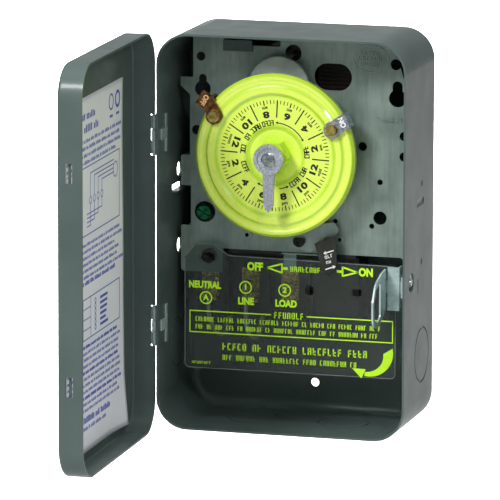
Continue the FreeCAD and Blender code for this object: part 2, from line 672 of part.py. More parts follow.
def gear_train():
    drive_teeth, small_teeth = int(dim("driveTeeth")), int(dim("smallPinionTeeth"))
    wheel_teeth, motor_teeth = int(dim("wheelTeeth")), int(dim("motorTeeth"))
    dial_centre = (dim("dialX"), dim("dialZ"))
    to_wheel = math.radians(dim("wheelAngle"))
    to_motor = math.radians(dim("motorAngle"))
    # each meshing pair has a tooth on the line of centres opposite a space
    feature("drive_gear", gear_solid(drive_teeth, dim("driveModule"), -33.4, 1.2, dial_centre, to_wheel,
                                     dim("arborRadius")))
    half_tooth = math.pi / small_teeth
    feature("intermediate_pinion", gear_solid(small_teeth, dim("driveModule"), -32.6, 3.8, wheel_centre(),
                                              to_wheel + math.pi + half_tooth, 1.25))
    feature("intermediate_wheel", gear_solid(wheel_teeth, dim("wheelModule"), -36.4, 1.2, wheel_centre(),
                                             to_motor, 1.25))
    pinion = gear_solid(motor_teeth, dim("wheelModule"), -36.2, 1.8, motor_centre(),
                        to_motor + math.pi + math.pi / motor_teeth, 0.5)
    shaft_x, shaft_z = motor_centre()
    shaft = Part.makeCylinder(0.8, 13, Vector(shaft_x, -23.2, shaft_z), Vector(0, -1, 0))
    core = Part.makeCylinder(0.6, 1.8, Vector(shaft_x, -36.2, shaft_z), Vector(0, -1, 0))
    feature("motor_pinion", pinion.fuse([shaft, core]).removeSplitter())
    x, z = wheel_centre()
    stud = join(rod("y", 1.2, (x, z), (-38.4, -30)), rod("y", 2.2, (x, z), (-39.2, -38.4)),
                rod("y", 2.0, (x, z), (-32.3, -31)))
    publish("wheel_stud", stud)


# ---- dial -----------------------------------------------------------------------------------------------

def dial_parts():
    centre = ("dialX", "dialZ")
    flange = rod("y", 4.0, centre, ("plateFront - 1.2", "plateFront"))
    post = rod("y", "postRadius", centre, (-57.4, "plateBack + 1"))
    publish("centre_post", join(flange, post))
    publish("dial_arbor", tube("y", "arborRadius", "postRadius + runningGap", centre, (-54.0, -32.6)))
    publish("clutch_spring", tube("y", 9.5, "arborRadius", centre, (-39.8, -39.2)))
    # a ribbed plastic disc: dished centre, flat printed ring, two raised rings and a turned-back rim
    profile = [(7.6, 1.0), (12.9, 1.0), (14.6, 2.1), (29.6, 2.1), (31.2, 3.2), (33.3, 3.2), (34.2, 2.6),
               (36.6, 2.6), (37.6, 3.0), (38.2, 2.9), (39.0, 2.1), (39.0, 0.0), (40.0, 0.0), (40.0, 2.6),
               (38.7, 4.0), (37.4, 4.0), (36.4, 3.6), (34.6, 3.6), (33.6, 4.2), (30.8, 4.2), (29.2, 3.1),
               (14.2, 3.1), (12.5, 2.0), (7.6, 2.0)]
    publish("dial_disc", facing_front(turned_body(profile), "dialX", "dialBack", "dialZ"))
    sleeve = rod("y", 7.6, centre, (-45.0, -44.0))
    collar = rod("y", 12.0, centre, (-44.0, -43.2))
    tail = rod("y", 6.0, centre, (-43.2, -41.0))
    hexagon = [math.radians(60 * i) for i in range(6)]
    corners = [(8.2 * math.cos(turn) + dim("dialX"), 8.2 * math.sin(turn) + dim("dialZ"), 0.8) for turn in hexagon]
    nose = sheet_body(rounded_outline(corners), -45.0, -53.0)
    bore = rod("y", "arborRadius + runningGap", centre, (-54, -40))
    publish("dial_hub", cut(join(sleeve, collar, tail, nose), bore))


def pointer_parts():
    centre = ("dialX", "dialZ")
    x, z = dim("dialX"), dim("dialZ")
    tapered = [(x - 2.9, z - 5.5, 0), (x + 2.9, z - 5.5, 0), (x + 2.5, z - 22.5, 1.0), (x, z - 26.4, 0.4),
               (x - 2.5, z - 22.5, 1.0)]
    finger = sheet_body(rounded_outline(tapered), -56.4, -57.6)
    disc = rod("y", 7.4, centre, (-57.6, -56.4))
    rim = tube("y", 7.4, 5.6, centre, (-58.3, -57.6))
    hole = rod("y", "postRadius", centre, (-58, -56))
    publish("pointer", cut(join(finger, disc, rim), hole))
    slotted_screw("pointer_screw", "dialX", -57.6, "dialZ", 3.3, 1.6, 1.2, 0.2, 35)


def tripper(name, screw_radius, inner, outer, side_shift, angle):
    """A clip over the dial's rim with a flag to grip and a screw on the face, built at 3 o'clock."""
    wide = 7.6
    low, high = side_shift - wide / 2, side_shift + wide / 2
    front, back = -48.8, -47.5
    face = sheet_body(rounded_outline([(inner + 1.6, -3.6, 3.0), (41.6, low, 0.6), (41.6, high, 0.6),
                                       (inner + 1.6, 3.6, 3.0)]), back, front)
    boss = rod("y", 4.2, (screw_radius, 0), (front, back))
    wrap = block((40.4, 41.6), (back, -41.4), (low, high))
    heel = block((36.5, 41.6), (-42.4, -41.4), (low, high))
    flag = block((40.0, outer), (front, back), (low, high))
    body = cut(join(face, boss, wrap, heel, flag), rod("y", 1.1, (screw_radius, 0), (-50, -47)))
    screw = slotted_screw(None, screw_radius, front, 0, 3.0, 1.9, 1.0, 1.2, 40)
    place_on_dial = Placement(Vector(dim("dialX"), 0, dim("dialZ")), Rotation(Vector(0, 1, 0), -angle))
    for node, obj in ((name, body), (f"{name}_screw", screw)):
        obj.Placement = place_on_dial * obj_placement(obj)
        publish(node, obj)


def obj_placement(obj):
    """The placement of a finished piece, with its expressions cleared so that it can be moved on."""
    doc.recompute()
    kept = obj.Placement.copy()
    for prop, _ in list(obj.ExpressionEngine):
        if "Placement" in prop:
            obj.setExpression(prop, None)
    return kept


# ---- insulator and latch --------------------------------------------------------------------------------

def insulator():
    x, z = dim("postX"), dim("postZ")
    outline = [(-54.9, -16.0, 1.0), (-49.6, -9.6, 2.5), (-40.4, -9.0, 2.5), (-32.6, -14.2, 1.0),
               (46.6, -15.3, 0.8), (51.6, -15.5, 1.0), (51.6, -71.2, 2.5), (-54.9, -70.8, 2.5)]
    geometry = rounded_outline(outline)
    geometry += slot(x, z, 8.2, 4.2)
    geometry += [circle(8.2, -29.6, 2.5)]
    geometry += rounded_outline([(29.6, -31.2, 0.5), (34.6, -31.2, 0.5), (34.6, -27.6, 0.5), (29.6, -27.6, 0.5)])
    publish("insulator", sheet_body(geometry, "insulatorBack", "insulatorBack - insulatorGauge"))


def latch():
    foot = block((53.0, 58.4), (-31.9, "plateFront"), (-33, -20))
    riser = block((53.0, 53.8), (-37.6, -31.9), (-36.9, -15.6))
    face = block((47.9, 53.8), (-37.6, -36.8), (-36.9, -15.6))
    hole = rod("y", 1.3, (56.2, -26.5), (-33, -30))
    arm_notch = block((52, 55), (-36.8, -35.7), (-29, -22))
    publish("latch_bracket", cut(join(foot, riser, face), hole, arm_notch))
    slotted_screw("latch_screw", 56.2, -31.9, -26.5, 2.3, 1.3, 1.2, 4.0, 60)
    # the spring loop stands forward in a YZ plane; its arm runs behind the bracket to the button
    outer = [(-37.9, -16.2, 1.0), (-46.0, -17.2, 8.0), (-57.5, -20.5, 6.0), (-63.2, -29.0, 6.0),
             (-62.6, -40.0, 5.0), (-54.0, -43.0, 6.0), (-37.9, -36.8, 1.0)]
    inner = [(-48.5, -21.0, 1.5), (-56.8, -23.4, 3.0), (-60.6, -30.0, 4.0), (-60.0, -38.0, 3.0),
             (-54.0, -40.0, 2.5), (-48.5, -38.0, 1.5)]
    loop = Part.Face([Part.Wire([piece.toShape() for piece in rounded_outline(ring)]) for ring in (outer, inner)])
    loop.validate()
    loop_x, loop_gauge = 46.6, 0.8
    standing = FreeCAD.Matrix(0, 0, 1, loop_x, 1, 0, 0, 0, 0, 1, 0, 0, 0, 0, 0, 1)
    ring = doc.addObject("Part::Feature", "Loop")
    ring.Shape = loop.extrude(Vector(0, 0, loop_gauge)).transformGeometry(standing)
    arm_z, arm_y = (-28.5, -22.5), (-36.6, -36.1)
    button_end = 57.4
    heel = block((loop_x, loop_x + loop_gauge), (-38.4, arm_y[1]), arm_z)
    arm = block((loop_x, button_end + 0.8), arm_y, arm_z)
    upright = block((button_end, button_end + 0.8), ("latchY - 2.6", arm_y[1]), (arm_z[0], "latchZ + 2.6"))
    publish("latch_spring", join(ring, heel, arm, upright))
    tip = rod("x", 1.7, ("latchY", "latchZ"), (61.2, 62.0))
    publish("latch_button", join(rod("x", 2.2, ("latchY", "latchZ"), (button_end + 0.8, 61.2)), tip))


# ---- motor leads ------------------------------------------------------------------------------------------

def lead(node, route):
    """A round lead along straight runs joined by tangent arcs."""
    points = [Vector(*point) for point in route]
    edges = []
    start = points[0]
    radii = []
    for before, here, after in zip(points, points[1:], points[2:]):
        inward, outward = before - here, after - here
        shorter = min(inward.Length, outward.Length)
        inward.normalize()
        outward.normalize()
        half = inward.getAngle(outward) / 2
        back = 0.45 * shorter
        middle = (inward + outward).normalize()
        radius = back * math.tan(half)
        radii.append(round(radius, 1))
        enter, leave = here + inward * back, here + outward * back
        crown = here + middle * (radius / math.sin(half) - radius)
        edges.append(Part.LineSegment(start, enter).toShape())
        edges.append(Part.Arc(enter, crown, leave).toShape())
        start = leave
    edges.append(Part.LineSegment(start, points[-1]).toShape())
    path = Part.Wire(edges)
    section = Part.Wire(Part.Circle(points[0], points[1] - points[0], dim("leadRadius")).toShape())
    solid = path.makePipeShell([section], True, False)
    expected = math.pi * dim("leadRadius") ** 2 * path.Length
    print(f"{node}: length {path.Length:.1f} mm, arc radii {radii}")
    print(f"{node}: volume {solid.Volume:.1f} of {expected:.1f}")
    feature(node, solid)


def motor_leads():
    lead("neutral_lead", [
        (-45.6, -26.2, -38.6), (-45.4, -26.4, -47), (-43.5, -21.5, -55.5), (-42.0, -11.5, -59.0),
        (-41.0, -4.8, -52.0), (-40.0, -4.4, -38.0), (-38.5, -4.6, -14.0), (-34.0, -4.6, 12.0),
        (-26.0, -4.8, 38.0), (-18.0, -5.2, 58.0), (-10.0, -7.5, 71.5), (0.5, -11.4, 77.0), (10.5, -11.4, 77.0)])
    lead("line_lead", [
        (-26.4, -26.2, -38.6), (-26.6, -26.4, -48), (-26.0, -21.5, -57.0), (-25.0, -11.5, -60.0),
        (-24.0, -4.8, -52.5), (-23.0, -4.4, -38.0), (-21.0, -4.6, -14.0), (-17.5, -4.6, 12.0),
        (-14.0, -4.8, 36.0), (-9.0, -5.2, 54.0), (-3.0, -7.5, 65.0), (3.5, -11.4, 71.0), (10.5, -11.4, 71.0)])


case_shell()
case_hinges()
door()
mechanism_plate()
hanger_tab()
plate_fittings()
terminal_block()
terminals()
switch_lever()
contact_parts()
motor()
gear_train()
dial_parts()
pointer_parts()
tripper("tripper_on", 32.4, 28.2, 41.6, 1.4, 25.9)
tripper("tripper_off", 35.2, 31.2, 46.4, -4.0, 148.3)
insulator()
latch()
motor_leads()

doc.recompute()
failed = [obj.Label for obj in doc.Objects if {"Invalid", "Error"} & set(obj.State)]
if failed:
    raise SystemExit(f"failed objects: {failed}")
os.makedirs("parts", exist_ok=True)
for node, obj in NODES.items():
    if obj.Shape.isNull() or not obj.Shape.isValid() or not obj.Shape.Solids:
        raise SystemExit(f"bad shape: {node}")
    obj.Shape.exportStep(f"parts/{node}.step")
print(f"{len(NODES)} sub-parts written")
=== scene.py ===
import math
import random

import bmesh
import bpy
from mathutils import Matrix, Vector


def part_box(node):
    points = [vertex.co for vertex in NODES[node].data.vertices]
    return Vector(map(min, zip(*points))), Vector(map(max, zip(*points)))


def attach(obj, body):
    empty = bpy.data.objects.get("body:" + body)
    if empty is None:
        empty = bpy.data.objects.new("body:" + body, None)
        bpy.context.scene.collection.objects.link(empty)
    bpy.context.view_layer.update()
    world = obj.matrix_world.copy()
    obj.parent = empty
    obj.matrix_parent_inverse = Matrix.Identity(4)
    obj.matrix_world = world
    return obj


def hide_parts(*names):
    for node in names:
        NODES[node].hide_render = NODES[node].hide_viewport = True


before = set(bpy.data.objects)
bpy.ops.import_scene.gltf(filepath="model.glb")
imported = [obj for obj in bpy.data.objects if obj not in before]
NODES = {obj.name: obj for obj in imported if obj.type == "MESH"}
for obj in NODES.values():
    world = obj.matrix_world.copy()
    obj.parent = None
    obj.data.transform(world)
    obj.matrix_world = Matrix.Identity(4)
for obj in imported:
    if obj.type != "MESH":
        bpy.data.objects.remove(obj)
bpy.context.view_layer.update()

# A mechanical dial time switch, its door open. The CAD nodes keep their shapes and get materials;
# print, a curled label, arrows and stampings are built here on planes taken from the nodes' boxes.

MM = 0.001
dice = random.Random(7)


def srgb(red, green, blue):
    """A display colour of 0 to 255 as the linear colour that shaders take."""
    def linear(c):
        c /= 255
        return c / 12.92 if c <= 0.04045 else ((c + 0.055) / 1.055) ** 2.4
    return (linear(red), linear(green), linear(blue), 1.0)


# ---- materials -------------------------------------------------------------------------------------

class Finish:
    """One procedural material: a Principled shader and the nodes that feed it."""

    def __init__(self, name, **sockets):
        self.material = bpy.data.materials.new(name)
        self.material.use_nodes = True
        self.tree = self.material.node_tree
        self.shader = self.tree.nodes["Principled BSDF"]
        named = {socket.name.lower().replace(" ", "_"): socket for socket in self.shader.inputs}
        for key, value in sockets.items():
            named[key].default_value = value
        self.place = self.tree.nodes.new("ShaderNodeTexCoord").outputs["Object"]

    def node(self, kind, links=(), **values):
        """A new node, its sockets linked to other sockets or set to plain values."""
        made = self.tree.nodes.new(kind)
        for key, value in values.items():
            setattr(made, key, value)
        for socket, source in links:
            if isinstance(source, bpy.types.NodeSocket):
                self.tree.links.new(source, made.inputs[socket])
            else:
                made.inputs[socket].default_value = source
        return made

    def stretched(self, x, y, z):
        """Object coordinates stretched so that a texture runs longer where the number is smaller."""
        links = [("Vector", self.place), ("Scale", (x, y, z))]
        return self.node("ShaderNodeMapping", links).outputs["Vector"]

    def noise(self, grain_mm, detail=3.0, where=None):
        """Smooth noise whose blotches are about grain_mm across."""
        links = [("Vector", where or self.place), ("Scale", 1 / (grain_mm * MM)), ("Detail", detail)]
        return self.node("ShaderNodeTexNoise", links).outputs["Fac"]

    def ramp(self, factor, *stops):
        """A colour ramp through (position, colour) stops."""
        made = self.node("ShaderNodeValToRGB", [("Fac", factor)])
        ends = made.color_ramp.elements
        while len(ends) < len(stops):
            ends.new(0.5)
        for element, (position, colour) in zip(ends, stops):
            element.position = position
            element.color = colour
        return made.outputs["Color"]

    def grey(self, factor, low, high, start=0.3, end=0.7):
        """A ramp between two grey levels, for roughness and for mixing."""
        return self.ramp(factor, (start, (low, low, low, 1)), (end, (high, high, high, 1)))

    def mix(self, factor, first, second):
        made = self.node("ShaderNodeMix", data_type="RGBA")
        for index, value in ((0, factor), (6, first), (7, second)):
            if isinstance(value, bpy.types.NodeSocket):
                self.tree.links.new(value, made.inputs[index])
            else:
                made.inputs[index].default_value = value
        return made.outputs[2]

    def colour(self, source):
        self.tree.links.new(source, self.shader.inputs["Base Color"])
        return self

    def roughness(self, source):
        self.tree.links.new(source, self.shader.inputs["Roughness"])
        return self

    def bump(self, height, depth_mm, strength=1.0):
        """Adds relief under any relief that is there already."""
        normal = self.shader.inputs["Normal"]
        links = [("Height", height), ("Distance", depth_mm * MM), ("Strength", strength)]
        if normal.links:
            links.append(("Normal", normal.links[0].from_socket))
        self.tree.links.new(self.node("ShaderNodeBump", links).outputs["Normal"], normal)
        return self


def enamel():
    """Baked grey-green enamel on steel: faint orange peel and a cloudy tone."""
    f = Finish("grey_enamel", metallic=0.0, specular_ior_level=0.16, coat_weight=0.12, coat_roughness=0.08)
    cloud = f.noise(38, 4)
    f.colour(f.ramp(cloud, (0.3, srgb(76, 90, 87)), (0.7, srgb(86, 100, 97))))
    f.roughness(f.grey(f.noise(16, 2), 0.28, 0.36))
    return f.bump(f.noise(1.3, 2), 0.012, 0.3).bump(f.noise(14, 2), 0.03, 0.3).material


def zinc(name, dark, light, streak=(1, 1, 0.12), rough=(0.28, 0.5), metallic=0.75):
    """Plated or bare sheet metal with streaks left by rolling and handling."""
    f = Finish(name, metallic=metallic)
    lines = f.noise(1.6, 5, f.stretched(*streak))
    blotch = f.noise(22, 4)
    faint = f.node("ShaderNodeMath", [(0, lines), (1, 0.35), (2, 0.32)], operation="MULTIPLY_ADD").outputs[0]
    both = f.node("ShaderNodeMath", [(0, faint), (1, blotch)], operation="MULTIPLY").outputs[0]
    f.colour(f.ramp(both, (0.16, dark), (0.36, light)))
    f.roughness(f.grey(blotch, *rough))
    return f.bump(lines, 0.02, 0.4).material


def machined(name, dark, light, rough=(0.2, 0.36), grain_mm=2.2):
    """Turned or pressed bright metal: fine grain and uneven tarnish."""
    f = Finish(name, metallic=1.0)
    f.colour(f.ramp(f.noise(grain_mm, 4), (0.35, dark), (0.65, light)))
    f.roughness(f.grey(f.noise(0.8, 5), *rough))
    return f.bump(f.noise(0.35, 2), 0.01, 0.5).material


def moulded(name, dark, light, rough=(0.35, 0.5), **sockets):
    """Moulded plastic: faint flow marks and a fine surface grain."""
    f = Finish(name, **sockets)
    f.colour(f.ramp(f.noise(12, 3), (0.35, dark), (0.65, light)))
    f.roughness(f.grey(f.noise(6, 4), *rough))
    return f.bump(f.noise(0.6, 2), 0.012, 0.4).material


def dial_plastic(middle_x, middle_z):
    """Glossy yellow-green plastic with painted shade: greener in the dish and in the grooves between the
    raised rings.
    """
    f = Finish("dial_plastic", coat_weight=1.0, coat_roughness=0.08)
    ramp_radius = 0.042
    centring = [("Vector", f.place), ("Location", (-middle_x, 0, -middle_z)), ("Scale", (1, 0, 1))]
    flat = f.node("ShaderNodeMapping", centring).outputs[0]
    reach = f.node("ShaderNodeVectorMath", [(0, flat)], operation="LENGTH").outputs["Value"]
    part = f.node("ShaderNodeMath", [(0, reach), (1, 1 / ramp_radius)], operation="MULTIPLY").outputs[0]
    # painted shade: the ramp darkens the dish edge and the grooves between the raised rings
    pale, painted_shade = srgb(222, 246, 96), srgb(176, 218, 40)
    rings = f.ramp(part, (0.0, painted_shade), (0.2, srgb(204, 236, 62)), (0.30, pale), (0.345, painted_shade), (0.38, pale),
                   (0.67, pale), (0.705, painted_shade), (0.74, pale), (0.785, pale), (0.81, painted_shade), (0.85, pale),
                   (0.9, pale), (0.94, painted_shade), (0.97, pale), (1.0, painted_shade))
    f.colour(f.mix(f.grey(f.noise(18, 3), 0.0, 0.25), rings, pale))
    f.roughness(f.grey(f.noise(9, 4), 0.22, 0.34))
    return f.bump(f.noise(0.9, 2), 0.01, 0.3).material


def smoke_sheet():
    """A translucent dark sheet that blurs what lies behind it, scuffed on its face."""
    f = Finish("smoke_sheet", transmission_weight=0.96, ior=1.1, coat_weight=0.2, coat_roughness=0.14)
    f.colour(f.ramp(f.noise(26, 3), (0.3, srgb(184, 195, 190)), (0.7, srgb(194, 205, 200))))
    f.roughness(f.grey(f.noise(30, 1), 0.24, 0.28))
    return f.bump(f.noise(60, 0), 0.02, 0.1).material


def ink(name, colour, rough=0.45):
    """Printing ink, a little uneven in tone."""
    f = Finish(name)
    faded = tuple(min(1.0, c * 1.12 + 0.012) for c in colour[:3]) + (1.0,)
    f.colour(f.ramp(f.noise(1.5, 4), (0.42, colour), (0.7, faded)))
    f.roughness(f.grey(f.noise(2, 2), rough - 0.06, rough + 0.08))
    return f.bump(f.noise(0.3, 2), 0.004, 0.3).material


def paper():
    """Coated label paper, faintly blue, with soft ripples where its glue holds unevenly."""
    f = Finish("label_paper", coat_weight=0.1, coat_roughness=0.3)
    f.colour(f.ramp(f.noise(30, 4), (0.3, srgb(236, 240, 248)), (0.7, srgb(246, 248, 252))))
    f.roughness(f.grey(f.noise(7, 3), 0.4, 0.55))
    return f.bump(f.noise(24, 2), 0.25, 0.35).bump(f.noise(0.5, 3), 0.01, 0.4).material


def varnished_tape():
    """Dark varnished tape wound in bands round the coil."""
    f = Finish("coil_tape", specular_ior_level=0.12)
    bands = f.node("ShaderNodeTexWave", [("Vector", f.place), ("Scale", 160.0), ("Distortion", 1.5)],
                   bands_direction="Z").outputs["Fac"]
    f.colour(f.ramp(bands, (0.2, srgb(10, 9, 8)), (0.8, srgb(24, 19, 14))))
    f.roughness(f.grey(bands, 0.35, 0.5))
    return f.bump(bands, 0.15, 0.6).material


def laminations():
    """The edges of stacked steel sheets."""
    f = Finish("laminations", metallic=0.8, specular_ior_level=0.2)
    sheets = f.node("ShaderNodeTexWave", [("Vector", f.place), ("Scale", 500.0)],
                    bands_direction="Y").outputs["Fac"]
    f.colour(f.ramp(sheets, (0.3, srgb(30, 31, 31)), (0.7, srgb(58, 59, 60))))
    f.roughness(f.grey(f.noise(4, 3), 0.4, 0.6))
    return f.bump(sheets, 0.08, 0.6).material


def radial_knurl(middle_x, middle_z):
    """Bright stamped metal whose face is cut by fine radial lines round a centre."""
    f = Finish("knurled_silver", metallic=0.85)
    line_count = 44.0
    centring = [("Vector", f.place), ("Location", (-middle_x, 0, -middle_z))]
    centred = f.node("ShaderNodeMapping", centring).outputs[0]
    split = f.node("ShaderNodeSeparateXYZ", [("Vector", centred)])
    turn = f.node("ShaderNodeMath", [(0, split.outputs["Z"]), (1, split.outputs["X"])], operation="ARCTAN2")
    many = f.node("ShaderNodeMath", [(0, turn.outputs[0]), (1, line_count)], operation="MULTIPLY")
    ridges = f.node("ShaderNodeMath", [(0, many.outputs[0])], operation="SINE").outputs[0]
    pits = f.noise(0.9, 4)
    f.colour(f.ramp(pits, (0.35, srgb(160, 166, 176)), (0.65, srgb(206, 211, 218))))
    f.roughness(f.grey(pits, 0.3, 0.5))
    return f.bump(ridges, 0.06, 0.4).bump(pits, 0.12, 0.7).material


def dress(material, *names):
    """Gives one material to the named CAD nodes."""
    for name in names:
        mesh = NODES[name].data
        mesh.materials.clear()
        mesh.materials.append(material)


def dress_all():
    """Every CAD node's material."""
    plate_dark, plate_light = srgb(116, 134, 125), srgb(154, 172, 162)
    dress(enamel(), "case_shell", "door_pan", "hanger_tab")
    plate = zinc("zinc_plate", plate_dark, plate_light, metallic=0.5, rough=(0.3, 0.46))
    dress(plate, "mechanism_plate", "block_rivets")
    dress(zinc("bracket_zinc", srgb(124, 142, 134), srgb(162, 180, 172), metallic=0.4, rough=(0.28, 0.4)),
          "lever_bracket")
    dress(zinc("zinc_bright", srgb(158, 184, 182), srgb(206, 226, 224), (0.3, 0.3, 1), (0.18, 0.32), 0.35),
          "hinge_strap_upper", "hinge_strap_lower", "door_hinge_leaf_upper", "door_hinge_leaf_lower",
          "latch_bracket", "latch_spring", "load_blade")
    dress(machined("turned_steel", srgb(128, 134, 134), srgb(196, 202, 200)),
          "hinge_pin_upper", "hinge_pin_lower", "wheel_stud", "centre_post", "latch_screw", "latch_button",
          "clutch_spring", "dial_arbor", "contact_pivot", "motor_spacers")
    dress(machined("blackened", srgb(16, 18, 17), srgb(52, 56, 52), (0.25, 0.4)),
          "lever_shaft", "insulator_post", "motor_pinion")
    dress(machined("brass", srgb(188, 156, 84), srgb(244, 218, 144)),
          "neutral_terminal", "line_terminal", "load_terminal", "terminal_screws",
          "intermediate_pinion", "drive_gear", "contact_arm")
    dress(machined("screw_brass", srgb(160, 138, 66), srgb(226, 206, 128)),
          "tripper_on_screw", "tripper_off_screw")
    dress(machined("tarnished_brass", srgb(78, 54, 30), srgb(160, 118, 74), (0.25, 0.45)), "tripper_off")
    dress(machined("bright_clip", srgb(150, 158, 172), srgb(214, 220, 230), (0.2, 0.36)), "tripper_on")
    dress(machined("pointer_screw", srgb(120, 136, 134), srgb(200, 212, 208), (0.2, 0.4)), "pointer_screw")
    low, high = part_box("pointer_screw")
    dress(radial_knurl((low[0] + high[0]) / 2, (low[2] + high[2]) / 2), "pointer")
    dress(machined("contact_silver", srgb(190, 190, 184), srgb(232, 232, 226)),
          "fixed_contact", "moving_contact")
    low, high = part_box("dial_disc")
    dress(dial_plastic((low[0] + high[0]) / 2, (low[2] + high[2]) / 2), "dial_disc")
    # the hub is the dial's own plastic, painted darker and greener as painted shade along its edge
    dress(moulded("hub_plastic", srgb(176, 214, 48), srgb(196, 230, 64), (0.22, 0.34)), "dial_hub")
    dress(moulded("grey_gear", srgb(132, 142, 139), srgb(162, 172, 168)), "intermediate_wheel")
    dress(moulded("phenolic", srgb(26, 26, 25), srgb(40, 40, 38)), "terminal_block", "switch_cam")
    dress(moulded("lever_plastic", srgb(24, 28, 20), srgb(44, 48, 38), (0.16, 0.28)), "manual_lever")
    dress(smoke_sheet(), "insulator")
    dress(machined("green_screw", srgb(14, 62, 40), srgb(48, 130, 86), (0.3, 0.45)), "ground_screw")
    dress(machined("dark_washer", srgb(16, 18, 16), srgb(44, 48, 46), (0.4, 0.6)), "ground_washer")
    dress(zinc("drawn_can", srgb(40, 42, 42), srgb(84, 88, 86), (0.3, 1, 0.3)), "motor_gearcase")
    dress(laminations(), "motor_core")
    dress(varnished_tape(), "motor_coil")
    dress(moulded("lead_covering", srgb(206, 200, 184), srgb(226, 222, 210)), "neutral_lead", "line_lead")


# ---- print and thin relief -------------------------------------------------------------------------

class Plane:
    """A flat place to draw on: millimetres right, up and out from an origin."""

    def __init__(self, origin_mm, right, up):
        self.right, self.up = Vector(right).normalized(), Vector(up).normalized()
        self.out = self.right.cross(self.up)
        axes = Matrix((self.right, self.up, self.out)).transposed().to_4x4()
        self.matrix = Matrix.Translation(Vector(origin_mm) * MM) @ axes @ Matrix.Scale(MM, 4)


class Marks:
    """Thin closed prisms drawn on a plane and gathered into one piece."""

    def __init__(self, plane, sunk=0.03, proud=0.05):
        self.plane, self.sunk, self.proud = plane, sunk, proud
        self.mesh = bmesh.new()

    def polygon(self, points):
        """A prism over corner points given anticlockwise."""
        low = [self.mesh.verts.new((x, y, -self.sunk)) for x, y in points]
        high = [self.mesh.verts.new((x, y, self.proud)) for x, y in points]
        self.mesh.faces.new(high)
        self.mesh.faces.new(low[::-1])
        for i in range(len(points)):
            j = (i + 1) % len(points)
            self.mesh.faces.new((low[i], low[j], high[j], high[i]))

    def stroke(self, a, b, width):
        """A straight line of a width between two points."""
        a, b = Vector(a), Vector(b)
        side = (b - a).normalized().orthogonal() * width / 2
        self.polygon([a - side, b - side, b + side, a + side])

    def bar(self, x, y, width, height):
        """A rectangle from its lower left corner."""
        self.polygon([(x, y), (x + width, y), (x + width, y + height), (x, y + height)])

    def arc(self, centre, radius, width, start=0.0, end=360.0):
        """A band of a ring between two angles, anticlockwise from 3 o'clock."""
        steps = max(2, int(abs(end - start) / 6))
        inner, outer = radius - width / 2, radius + width / 2
        spokes = []
        for i in range(steps + 1):
            turn = math.radians(start + (end - start) * i / steps)
            spokes.append((math.cos(turn), math.sin(turn)))
        for (c0, s0), (c1, s1) in zip(spokes, spokes[1:]):
            ring = [(inner * c0, inner * s0), (outer * c0, outer * s0),
                    (outer * c1, outer * s1), (inner * c1, inner * s1)]
            self.polygon([(centre[0] + x, centre[1] + y) for x, y in ring])

    def frame(self, x, y, width, height, line):
        """A rectangle's outline from its lower left corner, the line drawn inside it."""
        self.bar(x, y, width, line)
        self.bar(x, y + height - line, width, line)
        self.bar(x, y + line, line, height - 2 * line)
        self.bar(x + width - line, y + line, line, height - 2 * line)

    def word(self, text, centre, height, turn=0.0, widen=1.0, weight=0.0):
        """Plain lettering of a capital height, turned anticlockwise by degrees about its centre."""
        curve = bpy.data.curves.new("lettering", "FONT")
        curve.body = text
        curve.align_x, curve.align_y = "CENTER", "CENTER"
        curve.size = 1.0
        curve.offset = weight
        curve.extrude = 0.5
        curve.resolution_u = 3
        carrier = bpy.data.objects.new("lettering", curve)
        bpy.context.collection.objects.link(carrier)
        bpy.context.view_layer.update()
        shape = carrier.evaluated_get(bpy.context.evaluated_depsgraph_get()).to_mesh()
        capital = 0.73
        scale = height / capital
        lift = (self.proud - self.sunk) / 2
        fit = (Matrix.Translation((centre[0], centre[1], lift)) @ Matrix.Rotation(math.radians(turn), 4, "Z")
               @ Matrix.Diagonal((scale * widen, scale, self.proud + self.sunk, 1)))
        letters = bmesh.new()
        letters.from_mesh(shape)
        letters.transform(fit)
        kept = bpy.data.meshes.new("kept")
        letters.to_mesh(kept)
        letters.free()
        self.mesh.from_mesh(kept)
        bpy.data.meshes.remove(kept)
        bpy.data.objects.remove(carrier)
        bpy.data.curves.remove(curve)

    def scribble(self, corner, direction, letters, height, pitch, line):
        """Letter-like strokes that say nothing, along a direction from their lower left corner."""
        along = Vector(direction).normalized()
        across = Vector((-along.y, along.x))
        for i in range(letters):
            foot = Vector(corner) + along * pitch * i
            wide = pitch * 0.62
            self.stroke(foot + along * line / 2, foot + along * line / 2 + across * height, line)
            for level in dice.sample((0.08, 0.5, 0.92), dice.choice((1, 2, 2))):
                start = foot + across * height * level
                self.stroke(start, start + along * wide, line)
            if dice.random() < 0.4:
                self.stroke(foot + along * wide, foot + along * wide + across * height, line)

    def piece(self, name, material, body):
        """Places the marks on their plane as one piece that rides a body."""
        self.mesh.transform(self.plane.matrix)
        bmesh.ops.recalc_face_normals(self.mesh, faces=self.mesh.faces)
        return mesh_piece(name, self.mesh, material, body)


def mesh_piece(name, shape, material, body):
    """A visible piece made from a bmesh, which is used up."""
    mesh = bpy.data.meshes.new(name)
    shape.to_mesh(mesh)
    shape.free()
    mesh.materials.append(material)
    made = bpy.data.objects.new(name, mesh)
    bpy.context.collection.objects.link(made)
    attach(made, body)
    return made


def front_of(node, along_mm=0.0):
    """The plane of a node's foremost face, with the shared frame's own X and Z."""
    return Plane((0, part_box(node)[0][1] / MM + along_mm, 0), (1, 0, 0), (0, 0, 1))


def middle_of(node):
    """The X and Z of the middle of a node's box, in millimetres."""
    low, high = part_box(node)
    return (low[0] + high[0]) / 2 / MM, (low[2] + high[2]) / 2 / MM


def around(centre, radius, clock):
    """A point at a radius, at degrees clockwise from the top."""
    turn = math.radians(clock)
    return centre[0] + radius * math.sin(turn), centre[1] + radius * math.cos(turn)


